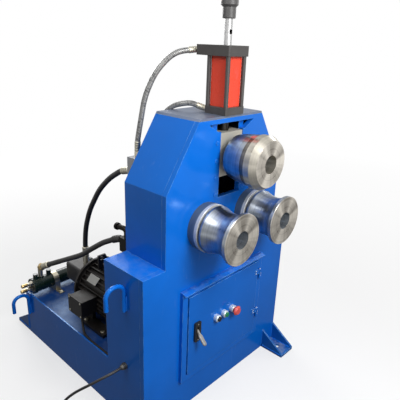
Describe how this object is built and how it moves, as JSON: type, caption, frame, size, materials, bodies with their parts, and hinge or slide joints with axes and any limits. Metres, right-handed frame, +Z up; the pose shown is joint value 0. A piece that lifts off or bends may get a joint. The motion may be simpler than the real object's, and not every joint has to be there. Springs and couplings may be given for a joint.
{
  "type": "three-roll bender",
  "caption": "Powered vertical bender for pipe and section: hydraulic ram pushes an upper roll down between two geared lower rolls on a welded cabinet",
  "frame": {"origin": "floor level under the middle of the machine's outline, from the roll fronts to the rear foot tips and hook to hook", "axes": "+X to the right seen from the front, +Y from the rolls to the rear, +Z up"},
  "size_m": [1.229, 1.1634, 1.533],
  "materials": {
    "blue_paint": "glossy blue enamel",
    "machined_steel": "turned and ground steel",
    "roll_steel": "polished turned steel",
    "black_steel": "semi-gloss black",
    "red_paint": "glossy orange red enamel",
    "rod_chrome": "hard chromed",
    "motor_grey": "dark grey enamel on castings",
    "plate_white": "blank plate",
    "cast_grey": "raw casting",
    "green_paint": "dark green enamel",
    "zinc": "zinc plated",
    "hose_rubber": "satin black rubber",
    "braid": "stainless braid",
    "valve_metal": "grey manifold",
    "black_plastic": "black plastic",
    "black_cap": "glossy black",
    "green_cap": "glossy green",
    "red_cap": "glossy red",
    "bezel_metal": "bright bezel",
    "lever_grey": "grey plastic",
    "control_metal": "zinc plated plate and grey devices",
    "cable_black": "black cable sheath"
  },
  "bodies": {
    "frame": {"front_plate": "blue_paint", "rear_plate": "blue_paint", "side_panels": "blue_paint", "top_plate": "machined_steel", "oil_tank": "blue_paint", "tank_deck": "blue_paint", "feet": "blue_paint", "lifting_hooks": "blue_paint", "guide_rails": "blue_paint", "bearing_housings": "machined_steel", "shaft_bearings": "machined_steel", "door_frame": "blue_paint", "control_gear": "control_metal", "cylinder_base": "black_steel", "cylinder_barrel": "red_paint", "cylinder_head": "black_steel", "tie_rods": "black_steel", "gear_case": "blue_paint", "gear_cover": "blue_paint", "drive_motor": "black_steel", "valve_block": "valve_metal", "solenoid_coils": "black_plastic", "electric_motor": "motor_grey", "motor_covers": "motor_grey", "terminal_box": "motor_grey", "nameplate": "plate_white", "bell_housing": "cast_grey", "gear_pump": "cast_grey", "oil_cooler": "green_paint", "cooler_fittings": "zinc", "hose_fittings": "zinc", "pressure_hose": "hose_rubber", "return_hose": "hose_rubber", "braided_hoses": "braid", "cable_gland": "zinc", "power_cable": "cable_black", "cable_coil": "cable_black", "supply_plug": "black_plastic"},
    "ram_slide": {"ram_rod": "rod_chrome", "slide_block": "machined_steel"},
    "upper_roll": {"upper_shaft": "machined_steel", "upper_roll": "roll_steel"},
    "stop_nut": {"stop_nut": "black_steel"},
    "left_roll": {"left_shaft": "machined_steel", "left_roll": "roll_steel", "left_gear": "machined_steel"},
    "right_roll": {"right_shaft": "machined_steel", "right_roll": "roll_steel", "right_gear": "machined_steel"},
    "drive_pinion": {"drive_pinion": "machined_steel"},
    "motor_rotor": {"motor_rotor": "machined_steel"},
    "door": {"door_panel": "blue_paint", "button_bezels": "bezel_metal", "switch_blocks": "black_plastic"},
    "isolator_lever": {"isolator_lever": "lever_grey"},
    "black_button": {"black_button": "black_cap"},
    "green_button": {"green_button": "green_cap"},
    "stop_button": {"stop_button": "red_cap"},
    "filler_cap": {"filler_cap": "black_plastic"}
  },
  "joints": [
    {"name": "ram_stroke", "type": "slide", "parent": "frame", "child": "ram_slide", "axis": [0, 0, 1], "range_m": [-0.072, 0.025]},
    {"name": "upper_roll_spin", "type": "hinge", "parent": "ram_slide", "child": "upper_roll", "pos_m": [0, -0.49975, 1.002], "axis": [0, 1, 0], "continuous": true},
    {"name": "stop_nut_turn", "type": "hinge", "parent": "ram_slide", "child": "stop_nut", "pos_m": [0, -0.36675, 1.49], "axis": [0, 0, 1], "continuous": true},
    {"name": "left_roll_spin", "type": "hinge", "parent": "frame", "child": "left_roll", "pos_m": [-0.126, -0.49975, 0.766], "axis": [0, 1, 0], "continuous": true},
    {"name": "right_roll_spin", "type": "hinge", "parent": "frame", "child": "right_roll", "pos_m": [0.126, -0.49975, 0.766], "axis": [0, 1, 0], "continuous": true},
    {"name": "pinion_spin", "type": "hinge", "parent": "frame", "child": "drive_pinion", "pos_m": [0, -0.16775, 0.766], "axis": [0, 1, 0], "continuous": true},
    {"name": "rotor_spin", "type": "hinge", "parent": "frame", "child": "motor_rotor", "pos_m": [-0.22, -0.00975, 0.339], "axis": [0, 1, 0], "continuous": true},
    {"name": "door_swing", "type": "hinge", "parent": "frame", "child": "door", "pos_m": [0.221, -0.42955, 0.337], "axis": [0, 0, 1], "range_deg": [0, 110]},
    {"name": "isolator_turn", "type": "hinge", "parent": "door", "child": "isolator_lever", "pos_m": [-0.165, -0.43175, 0.35], "axis": [-1, 0, 0], "range_deg": [0, 80]},
    {"name": "black_button_press", "type": "slide", "parent": "door", "child": "black_button", "axis": [0, 1, 0], "range_m": [0, 0.004], "stiffness_N_per_m": 900},
    {"name": "green_button_press", "type": "slide", "parent": "door", "child": "green_button", "axis": [0, 1, 0], "range_m": [0, 0.004], "stiffness_N_per_m": 900},
    {"name": "stop_button_press", "type": "slide", "parent": "door", "child": "stop_button", "axis": [0, 1, 0], "range_m": [0, 0.004]},
    {"name": "filler_cap_turn", "type": "hinge", "parent": "frame", "child": "filler_cap", "pos_m": [0.27, 0.28025, 0.25], "axis": [0, 0, 1], "range_deg": [0, 90]}
  ],
  "couplings": [
    {"joint": "right_roll_spin", "follows": "left_roll_spin", "ratio": 1},
    {"joint": "pinion_spin", "follows": "left_roll_spin", "ratio": -2.5}
  ]
}
